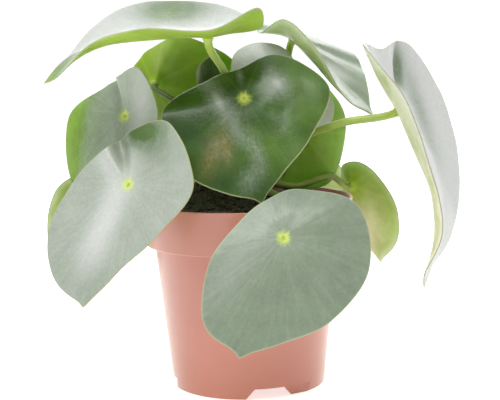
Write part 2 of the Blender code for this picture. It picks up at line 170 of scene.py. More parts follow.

# %% [markdown]
# ## The leaves
# Raindrop peperomia has shield leaves: the stalk joins the underside inside the blade, and a paler spot
# shows on top where it does. Each leaf is a row of what a maker would measure on it: where the stalk meets
# it, which way its face looks, its spin in that plane, how far its edge is from the stalk at ten stations,
# how much the edge is lifted there, the length of its drip tip, and the way of its stalk. The solids were
# made from such a table too, so the fine blades fit them. Only the edges of seven leaves were matched a
# little closer to the real plant here.
#
# power and tip_power say how late a blade bends, and swing how far its notch lies to one side. Creases are
# valleys from the stalk to a point of the edge, with a depth and a width. The rest is for the finish. veil
# says how much grey covers the face: pale wax bloom, with painted sheen where the leaf would reflect the
# bright room. fresh says how light its green is, the leaf's own tone and in places painted light, and
# pale how creamy the underside is. veil, fresh and pale run from 0 to 1. bloom, light and
# cream change these in soft ovals, and tan paints a brown reflection: each oval has its place to
# the side and to the tip, its length, width, turn in degrees, and amount. Many bloom ovals paint
# highlights, and some that take bloom away paint shade where no sheen falls; the light ovals on the centre
# and left_dark leaves paint light. stalk makes a stalk darker and thinner.

# %% The leaf table
STATIONS = (0, 22, 50, 90, 135, 180, 225, 270, 310, 338)
MEASURES = ("name", "at", "faces", "spin", "radii", "lifts", "drip", "route", "veil", "pale")


def shield(*measures, **more):
    """One leaf, as its measures by name."""
    return {**dict(zip(MEASURES, measures)), **more}


LEAVES = [
    shield("front_right", (19, -85, 95), (5, 20), -23, (59, 51, 47, 45, 42, 28, 21, 23, 39, 58),
        (-5, -3, 0, -1, -5, -8, -4, -3, -1, -3), 4, [(8, -10, 111), (20, -34, 108), (24, -58, 109.5)], 0.51,
        0.5, creases=[(-14, 52, 0.7, 5), (2, 48, 0.4, 4)], bloom=[(-16, 18, 40, 9, 110, 0.07)]),
    # front_left: the oval that takes all bloom away near the top paints the dark green where the curled top
    # reflects no sheen, and the long pale oval down the blade paints a highlight.
    shield("front_left", (-60, -55, 120), (-25, 25), -13, (63, 42, 36, 42, 38, 29, 23, 32, 50, 62),
        (-4, -2, 2, 8, 12, 1, 4, 0, -2, -3), 4, [(-2, -12, 115.5), (-26, -29, 119), (-50, -42, 121)], 0.62,
        0.5, swing=20, creases=[(-15.5, -22, 5.5, 4.2), (-6, 60, 0.7, 6)],
        bloom=[(-2, -28.5, 13, 6, 0, -1.1), (9, -19, 15, 7, 0, -0.07), (-5, 25, 34, 8, 95, 0.22),
        (-16, -8, 14, 5, 50, 0.15), (-6, 56, 14, 12, 0, -0.08)]),
    # centre: the ovals of lighter green paint light that comes through or glances off the right side, the
    # pale ovals paint the cloudy highlights on the glossy face, and the brown ones paint a brown reflection
    # on the left.
    shield("centre", (1, -42, 162), (0, 18), 8, (52, 43, 40, 45, 32, 18, 22, 43, 49, 51),
        (-2, 0, -1, -6, -10, -8, -11, -3, -2, 0), 4, [(0, -3, 122), (-1, -14, 146), (-1, -28, 160)], 0.0,
        0.4, fresh=0.05, light=[(32, 4, 30, 13, 70, 0.26), (8, 30, 24, 12, 30, 0.24),
        (-6, -14, 18, 5, -20, 0.1)], bloom=[(-14, -2, 11, 4.8, 72, 0.68), (-7, 16, 10, 4, 70, 0.46),
        (18.5, -5, 8, 5.5, 60, 0.65), (2, 29, 11, 4, 82, 0.34), (-4, 43, 8, 5, 125, 0.34),
        (0, -13, 4, 1.5, 90, 0.5)], tan=[(-21, 27, 13, 5, 118, 0.8), (-13, 25, 9, 3, 92, 0.7)]),
    # left_dark: its grey is painted sheen; the oval that takes it away, with the oval of lighter green,
    # paints the outer left green where light comes through.
    shield("left_dark", (-65, -8, 152), (-30, 14), -8, (52, 48, 42, 34, 30, 20, 26, 43, 51, 54),
        (0, 4, 12, 18, 19, 8, -7, -8, -10, -6), 4, [(-5, 0, 118), (-26, -1, 138), (-50, -3, 148)], 0.54, 0.4,
        swing=12, fresh=0.4, creases=[(-12.8, -18.1, 4.0, 3.5)], light=[(-43, 16, 60, 16, 85, 0.5)],
        bloom=[(-43, 16, 60, 16, 85, -0.95), (14, -6, 10, 14, 0, 0.16)]),
    shield("left_lime", (-86, 34, 91), (-140, 12), -12, (38, 37, 36, 36, 38, 29, 25, 31, 36, 38),
        (-2, 0, 0, -2, -3, -2, -3, -2, 0, 0), 4, [(-10, 8, 118), (-34, 14, 124), (-66, 24, 112)], 0.5, 0.35),
    shield("back_lime", (-50, 32, 168), (170, 30), 50, (50, 42, 18, 14, 17, 40, 48, 40, 43, 50),
        (-8, -3, 5, 8, 9, -5, 5, 5, 1, -4), 4, [(-3, 5, 120), (-16, 9, 146), (-42, 20, 160)], 0.52, 0.0,
        swing=-15, stalk=0.9),
    # young: its pale ovals paint a highlight along the left edge.
    shield("young", (-17, 4, 165), (0, 15), 176, (18, 15, 11, 7, 6, 5, 6, 7, 11, 15),
        (2, 4, 7, 6, 2, 0, 2, 6, 7, 4), 3, [(-3, 1, 124), (-10, 4, 145), (-16, 8, 156)], 0.0, 0.3,
        bloom=[(9, 9, 14, 3, 90, 0.9), (12, 4, 14, 3, 90, 0.6)]),
    shield("top_left", (-17, -40, 195), (0, 84), -88, (80, 63, 48, 36, 35, 28, 28, 40, 59, 67),
        (-21, 0, 8, 6, 15.5, 3, 8, 13, 13, 2), 6, [(-2, -2, 122), (-4, -8, 150), (-9, -20, 174)], 0.78, 0.05,
        power=2.0, tip_power=5.0, fresh=0.4, light=[(0, 84, 16, 8, 90, 0.6)],
        bloom=[(-37, 18, 20, 12, 100, -0.4), (0, 86, 16, 8, 90, -0.7)]),
    shield("back_grey", (9, 4, 174), (0, 20), 0, (28, 27, 24, 22, 20, 17, 17, 15, 18, 26),
        (-4, -2, 0, -1, -3, -2, -3, -1, 0, -2), 3, [(1, 2, 124), (4, 9, 150)], 0.7, 0.5),
    # top_right: the first pale oval paints a highlight, and the oval that takes bloom away by the curled
    # near margin paints shade there.
    shield("top_right", (30, 15, 192), (45, 50), 14, (58, 47, 40, 33, 28, 23, 19, 26, 36, 54),
        (-4, -1, 0, -6, -10, -8, -4, 18, 18, 3), 6, [(3, 4, 122), (12, 12, 150), (24, 13, 174)], 0.5, 0.5,
        power=1.8, creases=[(18, 24, 1.0, 5), (2, 50, 0.8, 5)], bloom=[(3, 30, 11, 4, 70, 0.25),
        (-9, 34, 28, 6, 97, -0.3), (9, 8, 12, 8, 0, -0.18)]),
    shield("right_green", (33, 30, 138), (175, 5), 20, (31, 29, 26, 26, 28, 30, 27, 26, 34, 34),
        (-2, 0, 0, 2, 2, 0, 2, 2, 0, 0), 4, [(3, 6, 118), (16, 12, 136), (28, 18, 138)], 0.5, 0.1),
    shield("right_grey", (36, 15, 152), (20, 15), 10, (14, 15, 16, 16, 15, 14, 15, 14, 14, 14),
        (0, 0, 1, 2, 1, -1, 1, 2, 1, 0), 2, [(5, 6, 118), (17, 14, 138)], 0.8, 0.5),
    # far_right: its near-white face is partly painted glare; the oval that takes bloom away at the crease
    # paints shade there, and the narrow pale oval paints a highlight along the near margin.
    shield("far_right", (84, -30, 153), (70, 28), -2, (84, 76, 64, 52, 48, 33, 49, 43, 54, 72),
        (-31, -13, 2, 12, 12, 6, 7, 15, 10, -3), 6, [(4, -2, 116), (24, -10, 134), (52, -22, 146)], 0.9, 1.0,
        power=2.0, tip_power=3.2, creases=[(26, -33, 2.6, 4.5)], bloom=[(17, -20, 16, 5, 120, -0.55),
        (26, 2, 34, 9, 92, -0.3), (11.5, 24, 46, 3.5, 92, 0.4)]),
    shield("low_right", (62.5, 36.5, 105), (145, 12), -16, (45, 25, 13, 8, 9, 13, 16, 20, 31, 42),
        (0, 0, 2, 3, 3, 0, 0, 0, 0, 0), 4, [(14, 8, 111), (30, 16, 108), (50, 27.5, 111.5)], 0.5, 0.2,
        stalk=0.4, cream=[(2, 26, 26, 14, 90, 0.8)], creases=[(-6, 40, 0.8, 4)]),
    shield("inner", (-20, -14, 132), (5, 6), -13, (17, 14, 12, 11, 12, 12, 12, 12, 13, 15),
        (0, 0, 0, 1, 0, 0, 0, 1, 0, 0), 3, [(-7, 4, 120), (-14, -2, 130)], 0.0, 0.3),
    shield("back_left", (-30, 74, 126), (190, 28), 8, (52, 46, 40, 34, 30, 26, 28, 33, 40, 47),
        (-8, -4, 0, 2, 4, -3, 4, 2, 0, -3), 5, [(-3, 8, 116), (-14, 34, 127), (-24, 55, 121)], 0.7, 0.4),
    shield("back_right", (28, 86, 104), (165, 25), -6, (50, 44, 38, 33, 30, 25, 28, 34, 40, 46),
        (-7, -3, 0, 3, 5, -3, 4, 2, 0, -3), 5, [(-1, 12, 114), (4, 40, 118), (19, 65, 105)], 0.6, 0.4),
    shield("back_mid", (16, 50, 158), (178, 25), 10, (36, 32, 27, 23, 20, 18, 20, 23, 28, 33),
        (-6, -3, 0, 2, 3, -2, 3, 2, 0, -3), 4, [(0, 8, 121), (-3, 29, 143)], 0.52, 0.4),
]
print("leaves:", len(LEAVES))

# %% [markdown]
# ## The form of a blade
# A blade is a height over a flat shape. Its edge is a smooth closed curve through the ten stations, drawn
# out to a point at the tip. Between stalk and edge the height grows as a power of the way out, which keeps
# the middle of the leaf flat and lets the edge bend. A sculpted blade could be freer, but a rule with a few
# numbers can be matched to a leaf, and numpy works out all points at once.

# %% Blade axes and the edge curve
BLADE = 1.0
DIMPLE = 1.2
DIMPLE_WIDTH = 4.0
POWER = 1.6
TIP_FOCUS = 6
DRIP_WIDTH = 0.16
DRIP_CURVE = 1.4


def blade_axes(leaf):
    """The way to the tip, to the side, and out of the upper face."""
    azimuth, elevation = (math.radians(angle) for angle in leaf["faces"])
    spin = math.radians(leaf["spin"])
    out = Vector((math.sin(azimuth) * math.cos(elevation), -math.cos(azimuth) * math.cos(elevation),
                  math.sin(elevation)))
    down = Vector((math.sin(azimuth) * math.sin(elevation), -math.cos(azimuth) * math.sin(elevation),
                   -math.cos(elevation)))
    tip = down * math.cos(spin) + out.cross(down) * math.sin(spin)
    return tip, out.cross(tip), out


def edge_curve(leaf, turns):
    """Points of the edge for places counted in stations, as rows of side, forward, out."""
    angles = np.radians(STATIONS)
    angles = angles + math.radians(leaf.get("swing", 0)) * (1 - np.cos(angles)) / 2
    radii = np.array(leaf["radii"], float)
    points = np.stack([radii * np.sin(angles), radii * np.cos(angles), np.array(leaf["lifts"], float)], 1)
    count = len(points)
    first = np.floor(turns).astype(int)
    part = (turns - first)[:, None]
    a, b, c, d = (points[(first + step) % count] for step in (-1, 0, 1, 2))
    edge = 0.5 * (2 * b + (c - a) * part + (2 * a - 5 * b + 4 * c - d) * part ** 2
                  + (3 * b - a - 3 * c + d) * part ** 3)
    from_tip = np.minimum(turns, count - turns)
    drawn_out = np.exp(-(from_tip / DRIP_WIDTH) ** DRIP_CURVE)[:, None]
    return edge + points[0] / np.linalg.norm(points[0]) * leaf["drip"] * drawn_out


centre_edge = edge_curve(LEAVES[2], np.arange(0, len(STATIONS), 0.5))
print("centre leaf, mm across:", round(float(np.ptp(centre_edge[:, 0])), 1))

# %% [markdown]
# ## Relief on the blade
# A living blade isn't smooth. Nine veins fan out from the stalk and lie in very shallow grooves on top, the
# flesh swells a little between them, and the whole blade is gently uneven. A highlight breaks on these
# forms, so they are in the mesh. What is finer than a vein is left to the material's bumps.

# %% Relief
VEINS = 9
VEIN_DEPTH = 0.04
VEIN_WIDTH = 1.2
VEIN_STARTS = (6, 16)
VEIN_ENDS = (0.75, 0.95)
PILLOW = 0.05
UNEVEN = 0.6
UNEVEN_SPACING = 16.0
UNEVEN_STARTS = (4, 20)
FINE_UNEVEN = 0.16
FINE_SPACING = 5.5
FINE_ENDS = (0.5, 0.9)
CREASE_FOOT = 0.4


def smooth_step(value, low, high):
    share = np.clip((value - low) / (high - low), 0, 1)
    return share * share * (3 - 2 * share)


def crease(flat, side, forward, depth, width):
    """A valley that runs from the stalk to a point of the edge and gets wider on its way."""
    length = math.hypot(side, forward)
    along = (flat[..., 0] * side + flat[..., 1] * forward) / length
    across = (flat[..., 1] * side - flat[..., 0] * forward) / length
    open_up = CREASE_FOOT + (1 - CREASE_FOOT) * np.clip(along / length, 0, 1.2)
    return -depth * np.exp(-(across / (width * open_up)) ** 2) * smooth_step(along, 1, length * 0.8)


def relief(leaf, flat, turns, reach, seed):
    """Height over the blade's form at flat points, for the upper face."""
    from_stalk = np.hypot(flat[..., 0], flat[..., 1])
    beat = turns / len(STATIONS) * VEINS
    off_vein = np.abs(beat - np.round(beat))
    groove = -VEIN_DEPTH * np.exp(-(off_vein * math.tau / VEINS * from_stalk / VEIN_WIDTH) ** 2)
    pillow = PILLOW / 2 * np.cos(math.pi * (1 - 2 * off_vein))
    fade = smooth_step(from_stalk, *VEIN_STARTS) * (1 - smooth_step(reach, *VEIN_ENDS))

    def lumps(spacing):
        return np.array([noise.noise(Vector((x / spacing, y / spacing, seed)))
                         for x, y in flat.reshape(-1, 2)]).reshape(from_stalk.shape)

    uneven = UNEVEN * lumps(UNEVEN_SPACING) * smooth_step(from_stalk, *UNEVEN_STARTS)
    uneven += FINE_UNEVEN * lumps(FINE_SPACING) * (1 - smooth_step(reach, *FINE_ENDS))
    folds = sum(crease(flat, *fold) for fold in leaf.get("creases", ()))
    return (groove + pillow) * fade + uneven + folds


print("veins on a leaf:", VEINS)

# %% [markdown]
# ## The mesh of a blade
# Each blade is two sheets of points, one for the upper face and one for the underside, joined round the edge
# by three rows that make it round. A solidify modifier could thicken one sheet, but its edge is square, and
# here the edge shows. Faces keep one of three materials: upper skin, underside, and edge. Points carry
# numbers that the materials read: how far they are from the stalk and from the edge, and how much bloom and
# painted sheen, lighter green and painted light, painted brown reflection or cream lies there. A UV map
# holds the turn round the stalk, with one seam.

# %% Blade mesh
FRESH = 0.2
LARGE_LEAF = 50
LARGE_NET = (160, 36)
SMALL_NET = (96, 20)
CROWDING = 0.85
EDGE_ROWS = 3
EDGE_THICKNESS = 0.75
UPPER, UNDER, EDGE = range(3)


def zones(base, ovals, flat):
    """A number over the blade: a base value, plus soft ovals."""
    amount = np.full(flat.shape[:-1], float(base))
    for side, forward, long, short, turn, more in ovals:
        along = Vector((math.cos(math.radians(turn)), math.sin(math.radians(turn))))
        x, y = flat[..., 0] - side, flat[..., 1] - forward
        away = ((x * along.x + y * along.y) / long) ** 2 + ((y * along.x - x * along.y) / short) ** 2
        amount += more * np.exp(-away)
    return np.clip(amount, 0, 1)


def blade_sheets(leaf, seed):
    """Upper and lower sheet of a blade in millimetres, its flat points, and how far out each one lies."""
    sectors, rings = SMALL_NET if max(leaf["radii"]) < LARGE_LEAF else LARGE_NET
    turns = np.arange(sectors) * len(STATIONS) / sectors
    reach = (np.arange(rings + 1) / rings) ** CROWDING
    edge = edge_curve(leaf, turns)
    turns, reach = np.meshgrid(turns, reach)
    flat = np.stack([edge[:, 0] * reach, edge[:, 1] * reach], -1)
    power = leaf.get("power", POWER)
    along = np.clip(edge[:, 1] / np.hypot(edge[:, 0], edge[:, 1]), 0, 1) ** TIP_FOCUS
    power = power + (leaf.get("tip_power", power) - power) * along
    dimple = DIMPLE * np.exp(-(flat ** 2).sum(-1) / (2 * DIMPLE_WIDTH ** 2))
    height = edge[:, 2] * np.maximum(reach, 1e-6) ** power - dimple
    bumps = relief(leaf, flat, turns, reach, seed)
    tip, side, out = (np.array(axis) for axis in blade_axes(leaf))
    middle = (np.array(leaf["at"], float) + flat[..., :1] * side + flat[..., 1:] * tip
              + height[..., None] * out)
    round_way = np.roll(middle, -1, 1) - np.roll(middle, 1, 1)
    normal = np.cross(round_way, np.gradient(middle, axis=0))
    normal[0] = out
    normal /= np.linalg.norm(normal, axis=-1, keepdims=True)
    normal *= np.sign((normal @ out).mean())
    half = (BLADE + (EDGE_THICKNESS - BLADE) * smooth_step(reach, 0.6, 1.0)) / 2
    upper = middle + normal * (half + bumps)[..., None]
    lower = middle + normal * (bumps - half)[..., None]
    return upper, lower, flat, reach


def closed_net(rows, around):
    """Faces over rows of points round a form, from a point at one end to a point at the other."""
    def corner(row, step):
        return 1 + row * around + step % around

    faces = []
    for step in range(around):
        faces.append((0, corner(0, step + 1), corner(0, step)))
        for row in range(rows - 1):
            faces.append((corner(row, step), corner(row, step + 1),
                          corner(row + 1, step + 1), corner(row + 1, step)))
        faces.append((corner(rows - 1, step), corner(rows - 1, step + 1), 1 + rows * around))
    return faces


def new_mesh(name, points, faces):
    """A mesh from points in millimetres."""
    mesh = bpy.data.meshes.new(name)
    mesh.from_pydata([tuple(place(point)) for point in points], [], faces)
    return mesh


def turn_outward(mesh):
    """Turn all faces outward and shade them smooth."""
    bm = bmesh.new()
    bm.from_mesh(mesh)
    bmesh.ops.recalc_face_normals(bm, faces=bm.faces)
    bm.to_mesh(mesh)
    bm.free()
    mesh.shade_smooth()
    return mesh


def blade_mesh(leaf, seed):
    upper, lower, flat, reach = blade_sheets(leaf, seed)
    rings, sectors = reach.shape
    outward = upper[-1] - upper[-2]
    outward /= np.linalg.norm(outward, axis=-1, keepdims=True)
    rim_middle = (upper[-1] + lower[-1]) / 2
    rim_half = (upper[-1] - lower[-1]) / 2
    bulge = np.linalg.norm(rim_half, axis=-1, keepdims=True)
    rows = [upper[ring] for ring in range(1, rings)]
    for row in range(1, EDGE_ROWS + 1):
        turn = math.pi * row / (EDGE_ROWS + 1)
        rows.append(rim_middle + rim_half * math.cos(turn) + outward * bulge * math.sin(turn))
    rows += [lower[ring] for ring in range(rings - 1, 0, -1)]
    mesh = new_mesh("leaf_" + leaf["name"], np.concatenate([upper[0][:1]] + rows + [lower[0][:1]]),
                    closed_net(len(rows), sectors))
    ring_of = list(range(1, rings)) + [rings - 1] * EDGE_ROWS + list(range(rings - 1, 0, -1))
    kinds, polar = [], []
    for sector in range(sectors):
        near, far = sector / sectors, (sector + 1) / sectors
        kinds.append(UPPER)
        polar += [(near, 0), (far, reach[1, 0]), (near, reach[1, 0])]
        for row in range(len(rows) - 1):
            first, second = reach[ring_of[row], 0], reach[ring_of[row + 1], 0]
            kinds.append(UPPER if row < rings - 2 else EDGE if row < rings + EDGE_ROWS - 1 else UNDER)
            polar += [(near, first), (far, first), (far, second), (near, second)]
        kinds.append(UNDER)
        polar += [(near, reach[1, 0]), (far, reach[1, 0]), (near, 0)]
    mesh.polygons.foreach_set("material_index", kinds)
    mesh.uv_layers.new(name="polar").data.foreach_set("uv", [value for pair in polar for value in pair])
    from_stalk = np.hypot(flat[..., 0], flat[..., 1])
    numbers = {"from_stalk": from_stalk, "from_edge": from_stalk[-1] * (1 - reach),
               "veil": zones(leaf["veil"], leaf.get("bloom", ()), flat),
               "fresh": zones(leaf.get("fresh", FRESH), leaf.get("light", ()), flat),
               "tan": zones(0, leaf.get("tan", ()), flat),
               "pale": zones(leaf["pale"], leaf.get("cream", ()), flat)}
    for title, grid in numbers.items():
        values = [grid[0, 0]] + [value for ring in ring_of for value in grid[ring]] + [grid[0, 0]]
        mesh.attributes.new(title, "FLOAT", "POINT").data.foreach_set("value", values)
    return turn_outward(mesh)


print("points on a large leaf:", LARGE_NET[0] * (2 * LARGE_NET[1] + EDGE_ROWS) + 2)

# %% [markdown]
# ## Leaf skins
# A peperomia leaf is thick and waxy. The upper skin is green under a clear cuticle, and a pale wax bloom
# lies over parts of it, which scatters light and turns the green grey. The same grey paints sheen and
# highlights, a lighter green paints light that comes through, and a brown paints a reflection. Near the
# stalk the skin is lighter and less glossy, and faint lighter lines mark the veins. A painted image could
# show all this, but each leaf would need its own. Here the mesh says where the bloom and the painted light
# lie, noise breaks it up, and one material fits all blades.

# %% What both skins use
# Wax bends light, and red, green and blue light reach unequally far into green flesh.
WAXY_FLESH = {"IOR": 1.45, "Subsurface Radius": (0.6, 1.0, 0.4)}
CLOUD = 16.667
STREAKS_ROUND = 81.68
STREAK_LENGTH = 19.23


def leaf_numbers(m, *names):
    """The place round the stalk in turns, and the named numbers that the mesh carries."""
    angle = add(m, "SeparateXYZ", [add(m, "UVMap", settings={"uv_map": "polar"})])
    return angle, *[add(m, "Attribute", settings={"attribute_name": name}, give="Fac") for name in names]


def vein_lines(m, angle, from_stalk, near, far, strength):
    """Lines on the veins: full strength nearer than near, nothing beyond far, both in millimetres."""
    beat = add(m, "Math", [angle, float(VEINS)], TIMES)
    off_vein = add(m, "Math", [beat, 0.5], {"operation": "PINGPONG"})
    turn = add(m, "Math", [off_vein, math.tau / VEINS], TIMES)
    across = add(m, "Math", [turn, from_stalk], TIMES)
    return add(m, "MapRange", [across, near, far, strength, 0.0], SMOOTH)


def streaks(m, angle, from_stalk):
    """Streaks that run out from the stalk: noise on a narrow tube, so it has no seam."""
    scale = STREAKS_ROUND / math.tau
    turn = add(m, "Math", [angle, math.tau], TIMES)
    tube = add(m, "CombineXYZ", [add(m, "Math", [turn], {"operation": "COSINE"}), add(m, "Math", [turn],
               {"operation": "SINE"}), add(m, "Math", [from_stalk, 1 / (STREAK_LENGTH * scale)], TIMES)])
    return add(m, "TexNoise", Vector=tube, Scale=scale, Detail=4.0, Roughness=0.6)


print("streaks round a leaf:", round(STREAKS_ROUND), "each about", round(STREAK_LENGTH), "mm long")

# %% Upper skin
# Grains of wax are some hundredths of a millimetre wide and skin cells a tenth, but a pixel of the render
# is half a millimetre. Both are drawn coarser here, as coarse as they need to be to show.
WAX_GRAIN = 1.667
SKIN_CELL = 0.769


def upper_skin():
    """Waxy leaf cuticle, grown: a soft broad sheen from the skin under a sharper one from the clear wax."""
    m = empty_material("waxy_leaf_cuticle")
    angle, from_stalk, from_edge, veil, fresh, tan = leaf_numbers(
        m, "from_stalk", "from_edge", "veil", "fresh", "tan")
    point = add(m, "TexCoord", give="Object")
    cloud = add(m, "TexNoise", Vector=point, Scale=every(CLOUD), Detail=4.0, Roughness=0.55)
    fine = add(m, "TexNoise", Vector=point, Scale=every(WAX_GRAIN), Detail=3.0, Roughness=0.6)
    cells = add(m, "TexNoise", Vector=point, Scale=every(SKIN_CELL), Detail=2.0, Roughness=0.6)
    streak = streaks(m, angle, from_stalk)

    # Thin bloom and painted sheen are broken into streaks and grains. Thick, they close.
    patchy = add(m, "MapRange", [streak, 0.3, 0.7, 0.75, 1.25])
    grainy = add(m, "MapRange", [fine, 0.32, 0.68, 0.55, 1.45])
    broken = add(m, "Math", [veil, patchy], TIMES)
    broken = add(m, "Math", [broken, grainy], TIMES)
    closed = add(m, "MapRange", [veil, 0.3, 0.5, 0.0, 0.97], SMOOTH)
    veil = add(m, "Mix", {0: closed, 2: broken, 3: veil})

    # Green, lighter green with painted light, bloom with painted sheen, frost with painted glare and a
    # painted brown reflection are laid over each other in this order.
    dark = add(m, "ValToRGB", [cloud], stops=[(0.3, "#233D14"), (0.5, "#2B4A19"), (0.72, "#365A1F")])
    light = add(m, "ValToRGB", [cloud], stops=[(0.3, "#658A10"), (0.72, "#7FA31C")])
    brushed = add(m, "Mix", {0: 0.55, 2: cloud, 3: streak})
    bloom = add(m, "ValToRGB", [brushed], stops=[(0.3, "#7C8878"), (0.5, "#879284"), (0.7, "#949D91")])
    thin = add(m, "MapRange", [veil, 0.0, 0.75])
    thick = add(m, "MapRange", [veil, 0.5, 1.1])
    # Painted brown reflection, broken by the grain.
    reflected_brown = add(m, "Math", [tan, grainy], TIMES)
    skin = dark
    # The near-white is pale wax and, where the veil is thickest, painted glare; the brown paints a
    # reflection.
    frost_and_glare, reflection_brown = linear("#D6D5D5"), linear("#75703F")
    for where, colour in ((fresh, light), (thin, bloom), (thick, frost_and_glare), (reflected_brown, reflection_brown)):
        skin = add(m, "Mix", {0: where, 6: skin, 7: colour}, IN_COLOUR, 2)
    grain = add(m, "MapRange", [fine, 0.3, 0.7, 0.96, 1.04])
    skin = add(m, "Mix", {0: 1.0, 6: skin, 7: grain}, TINTING, 2)

    # Then come the veins, the light spot over the stalk with a ragged edge, its brown dot, and the margin.
    vein = vein_lines(m, angle, from_stalk, 0.1, 0.8, 0.07)
    fan = add(m, "MapRange", [from_stalk, 3.0, 30.0, 1.0, 0.2], SMOOTH)
    vein = add(m, "Math", [vein, fan], TIMES)
    ragged = add(m, "Math", [fine, -3.0, from_stalk], TIMES_PLUS)
    ragged = add(m, "Math", [streak, -5.0, ragged], TIMES_PLUS)
    spot = add(m, "MapRange", [ragged, -3.2, 1.0, 0.9, 0.0], SMOOTH)
    dot = add(m, "MapRange", [from_stalk, 0.4, 1.3, 0.7, 0.0], SMOOTH)
    margin = add(m, "MapRange", [from_edge, 0.1, 0.6, 0.35, 0.0], SMOOTH)
    for where, colour in ((vein, "#A9BE6A"), (spot, "#C4D65C"), (dot, "#7A6A20"), (margin, "#A3AE84")):
        skin = add(m, "Mix", {0: where, 6: skin, 7: linear(colour)}, IN_COLOUR, 2)

    # Bloom is rougher than bare cuticle. Cells, streaks and grains stand up, veins lie a little deeper.
    rough = add(m, "MapRange", [veil, 0.0, 1.0, 0.26, 0.45])
    height = cells
    for source, amount in ((vein, -0.6), (streak, 0.9), (fine, 0.8)):
        height = add(m, "Math", [source, amount, height], TIMES_PLUS)
    bump = add(m, "Bump", Strength=0.4, Distance=0.2 * MM, Height=height)

    # Round the stalk the skin is rougher and its clear wax thinner.
    calm = add(m, "MapRange", [from_stalk, 3.0, 13.0, 1.0, 0.0], SMOOTH)
    rough = add(m, "Math", [calm, 0.3, rough], TIMES_PLUS)
    coat = add(m, "Math", [calm, -0.2, 0.22], TIMES_PLUS)
    shader = add(m, "BsdfPrincipled", WAXY_FLESH, Base_Color=skin, Roughness=rough, Normal=bump,
                 Subsurface_Weight=0.1, Subsurface_Scale=1.0 * MM, Coat_Weight=coat, Coat_Roughness=0.14)
    add(m, "OutputMaterial", [shader])
    return m


LEAF_TOP = upper_skin()
print("material:", LEAF_TOP.name)

# %% [markdown]
# ## Underside and edge
# The underside has no bloom. It runs from lime to a creamy grey, light comes through it, and the veins show
# as faint lines. Where it is creamy its rim is paler still, and at the stalk it is yellow-green. The rounded
# edge is the thinnest place of all: light gathers in it, so it looks pale next to the dark upper skin.

# %% Underside and edge
EDGE_CLOUD = 11.111


def underside():
    """Fleshy leaf underside, grown: satin and soft, because light goes in and comes out again."""
    m = empty_material("fleshy_leaf_underside")
    angle, from_stalk, from_edge, pale = leaf_numbers(m, "from_stalk", "from_edge", "pale")
    point = add(m, "TexCoord", give="Object")
    cloud = add(m, "TexNoise", Vector=point, Scale=every(CLOUD), Detail=5.0, Roughness=0.6)
    outer = add(m, "MapRange", [from_stalk, 4.0, 20.0, 0.15, 1.0], SMOOTH)
    mottled = add(m, "MapRange", [cloud, 0.35, 0.65, 0.8, 1.1])
    pale = add(m, "Math", [pale, outer], TIMES)
    pale = add(m, "Math", [pale, mottled], {**TIMES, "use_clamp": True})
    rim = add(m, "MapRange", [from_edge, 0.5, 5.0, 0.8, 0.0], SMOOTH)
    rim = add(m, "Math", [rim, pale], TIMES)
    vein = vein_lines(m, angle, from_stalk, 0.2, 1.3, 0.07)
    joint = add(m, "MapRange", [from_stalk, 1.5, 6.0, 0.7, 0.0], SMOOTH)
    cream = add(m, "ValToRGB", [cloud], stops=[(0.35, "#C9CFA6"), (0.65, "#DCE0C4")])
    skin = add(m, "ValToRGB", [cloud], stops=[(0.3, "#7A9014"), (0.7, "#90A71F")])
    for where, colour in ((pale, cream), (vein, linear("#D5E58E")), (rim, linear("#E2E3E0")),
                          (joint, linear("#B4C034"))):
        skin = add(m, "Mix", {0: where, 6: skin, 7: colour}, IN_COLOUR, 2)
    glow = add(m, "MapRange", [pale, 0.0, 1.0, 0.7, 0.2])
    bump = add(m, "Bump", Strength=0.4, Distance=0.4 * MM, Height=vein)
    shader = add(m, "BsdfPrincipled", WAXY_FLESH, Base_Color=skin, Roughness=0.42, Normal=bump,
                 Subsurface_Weight=glow, Subsurface_Scale=2.5 * MM)
    add(m, "OutputMaterial", [shader])
    return m


def thin_edge():
    """Thin leaf edge, grown: pale and satin, green in places and slightly brown in others."""
    m = empty_material("thin_leaf_edge")
    cloud = add(m, "TexNoise", Vector=add(m, "TexCoord", give="Object"), Scale=every(EDGE_CLOUD),
                Detail=3.0)
    tint = add(m, "ValToRGB", [cloud], stops=[(0.4, "#96A276"), (0.65, "#A39C82")])
    shader = add(m, "BsdfPrincipled", WAXY_FLESH, Base_Color=tint, Roughness=0.4, Subsurface_Weight=0.1,
                 Subsurface_Scale=1.0 * MM)
    add(m, "OutputMaterial", [shader])
    return m


LEAF_UNDER = underside()
LEAF_EDGE = thin_edge()
print("materials:", LEAF_UNDER.name, LEAF_EDGE.name)

# %% [markdown]
# ## Make the blades
# Each piece rides on the plant's one body and takes the place of its solid, which it hides, with materials
# of its own.
# One function does this for every piece. A seed of its own makes each blade uneven in its own way.

# %% Make the blades
SEED_STEP = 3.7


def add_piece(name, mesh, node, materials):
    """Put a mesh in the scene as a piece that stands for a solid."""
    piece = into_scene(name, mesh)
    for material in materials:
        mesh.materials.append(material)
    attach(piece, "root")
    if node:
        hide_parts(node)
    return piece


for number, leaf in enumerate(LEAVES):
    blade = add_piece("blade_" + leaf["name"], blade_mesh(leaf, number * SEED_STEP), "leaf_" + leaf["name"],
                      (LEAF_TOP, LEAF_UNDER, LEAF_EDGE))
    print(blade.name, len(blade.data.polygons), "faces")

# %% [markdown]
# ## The stem and its stalks
# Every stalk leaves one short stem, curves up or out, and meets its blade from below, nearly square on. It
# is a little wider at its foot and flares where it runs into the blade. A curve with a bevel gives an even
# tube. Here each tube is swept ring by ring, so that it can widen at both ends and stay slightly uneven.

